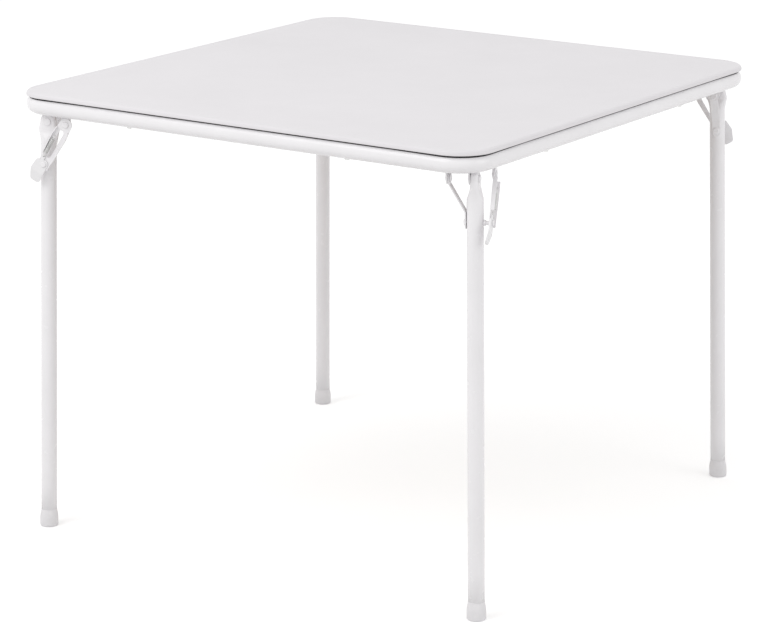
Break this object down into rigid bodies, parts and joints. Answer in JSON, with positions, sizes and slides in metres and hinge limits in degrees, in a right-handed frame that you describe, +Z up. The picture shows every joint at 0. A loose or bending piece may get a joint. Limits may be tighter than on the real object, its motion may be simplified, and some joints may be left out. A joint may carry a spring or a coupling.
{
  "type": "folding card table",
  "caption": "Square card table with a padded white top on a bent tube rail and splayed tube legs that fold flat under it, each held by a lock strut with a release lever.",
  "frame": {"origin": "on the floor under the middle of the top", "axes": "+Z up, +X and +Y square to the sides of the top; the front leg stands at +X -Y and the legs follow anticlockwise seen from above"},
  "size_m": [0.875, 0.875, 0.721],
  "materials": {
    "frame_paint": "satin white powder coat",
    "vinyl": "smooth matt white vinyl",
    "foam": "soft foam sheet",
    "board": "pressed hardboard",
    "cap_plastic": "soft matt white plastic",
    "plated_steel": "bright zinc plate",
    "lever_paint": "satin white paint"
  },
  "bodies": {
    "root": {"frame_rail": "frame_paint", "top_screws": "plated_steel", "top_board": "board", "top_padding": "foam", "top_cover": "vinyl", "corner_bracket_front": "frame_paint", "hinge_rivets_front": "frame_paint", "strut_lug_front": "frame_paint", "strut_pin_front": "frame_paint", "corner_bracket_right": "frame_paint", "hinge_rivets_right": "frame_paint", "strut_lug_right": "frame_paint", "strut_pin_right": "frame_paint", "corner_bracket_back": "frame_paint", "hinge_rivets_back": "frame_paint", "strut_lug_back": "frame_paint", "strut_pin_back": "frame_paint", "corner_bracket_left": "frame_paint", "hinge_rivets_left": "frame_paint", "strut_lug_left": "frame_paint", "strut_pin_left": "frame_paint"},
    "leg_front": {"leg_front": "frame_paint", "foot_cap_front": "cap_plastic", "side_brace_front": "frame_paint", "cross_rivet_front": "frame_paint"},
    "strut_front": {"lock_strut_front": "frame_paint", "lever_pin_front": "frame_paint", "lock_spring_front": "plated_steel"},
    "lever_front": {"release_lever_front": "lever_paint"},
    "leg_right": {"leg_right": "frame_paint", "foot_cap_right": "cap_plastic", "side_brace_right": "frame_paint", "cross_rivet_right": "frame_paint"},
    "strut_right": {"lock_strut_right": "frame_paint", "lever_pin_right": "frame_paint", "lock_spring_right": "plated_steel"},
    "lever_right": {"release_lever_right": "lever_paint"},
    "leg_back": {"leg_back": "frame_paint", "foot_cap_back": "cap_plastic", "side_brace_back": "frame_paint", "cross_rivet_back": "frame_paint"},
    "strut_back": {"lock_strut_back": "frame_paint", "lever_pin_back": "frame_paint", "lock_spring_back": "plated_steel"},
    "lever_back": {"release_lever_back": "lever_paint"},
    "leg_left": {"leg_left": "frame_paint", "foot_cap_left": "cap_plastic", "side_brace_left": "frame_paint", "cross_rivet_left": "frame_paint"},
    "strut_left": {"lock_strut_left": "frame_paint", "lever_pin_left": "frame_paint", "lock_spring_left": "plated_steel"},
    "lever_left": {"release_lever_left": "lever_paint"}
  },
  "joints": [
    {"name": "leg_fold_front", "type": "hinge", "parent": "root", "child": "leg_front", "pos_m": [0.4046, -0.3799, 0.6724], "axis": [0.9396, 0.342, 0.0146], "range_deg": [0, 91.5]},
    {"name": "strut_swing_front", "type": "hinge", "parent": "root", "child": "strut_front", "pos_m": [0.39219, -0.34579, 0.6719], "axis": [0.9396, 0.342, 0.0146], "range_deg": [0, 120.53]},
    {"name": "lever_press_front", "type": "hinge", "parent": "strut_front", "child": "lever_front", "pos_m": [0.40608, -0.38118, 0.60743], "axis": [0.9396, 0.342, 0.0146], "range_deg": [0, 10], "stiffness_Nm_per_rad": 0.6},
    {"name": "leg_fold_right", "type": "hinge", "parent": "root", "child": "leg_right", "pos_m": [0.3799, 0.4046, 0.6724], "axis": [-0.342, 0.9396, 0.0146], "range_deg": [0, 91.5]},
    {"name": "strut_swing_right", "type": "hinge", "parent": "root", "child": "strut_right", "pos_m": [0.34579, 0.39219, 0.6719], "axis": [-0.342, 0.9396, 0.0146], "range_deg": [0, 120.53]},
    {"name": "lever_press_right", "type": "hinge", "parent": "strut_right", "child": "lever_right", "pos_m": [0.38118, 0.40608, 0.60743], "axis": [-0.342, 0.9396, 0.0146], "range_deg": [0, 10], "stiffness_Nm_per_rad": 0.6},
    {"name": "leg_fold_back", "type": "hinge", "parent": "root", "child": "leg_back", "pos_m": [-0.4046, 0.3799, 0.6724], "axis": [-0.9396, -0.342, 0.0146], "range_deg": [0, 91.5]},
    {"name": "strut_swing_back", "type": "hinge", "parent": "root", "child": "strut_back", "pos_m": [-0.39219, 0.34579, 0.6719], "axis": [-0.9396, -0.342, 0.0146], "range_deg": [0, 120.53]},
    {"name": "lever_press_back", "type": "hinge", "parent": "strut_back", "child": "lever_back", "pos_m": [-0.40608, 0.38118, 0.60743], "axis": [-0.9396, -0.342, 0.0146], "range_deg": [0, 10], "stiffness_Nm_per_rad": 0.6},
    {"name": "leg_fold_left", "type": "hinge", "parent": "root", "child": "leg_left", "pos_m": [-0.3799, -0.4046, 0.6724], "axis": [0.342, -0.9396, 0.0146], "range_deg": [0, 91.5]},
    {"name": "strut_swing_left", "type": "hinge", "parent": "root", "child": "strut_left", "pos_m": [-0.34579, -0.39219, 0.6719], "axis": [0.342, -0.9396, 0.0146], "range_deg": [0, 120.53]},
    {"name": "lever_press_left", "type": "hinge", "parent": "strut_left", "child": "lever_left", "pos_m": [-0.38118, -0.40608, 0.60743], "axis": [0.342, -0.9396, 0.0146], "range_deg": [0, 10], "stiffness_Nm_per_rad": 0.6}
  ],
  "couplings": [
    {"joint": "strut_swing_front", "follows": "leg_fold_front", "ratio": 1.3171},
    {"joint": "strut_swing_right", "follows": "leg_fold_right", "ratio": 1.3171},
    {"joint": "strut_swing_back", "follows": "leg_fold_back", "ratio": 1.3171},
    {"joint": "strut_swing_left", "follows": "leg_fold_left", "ratio": 1.3171}
  ]
}
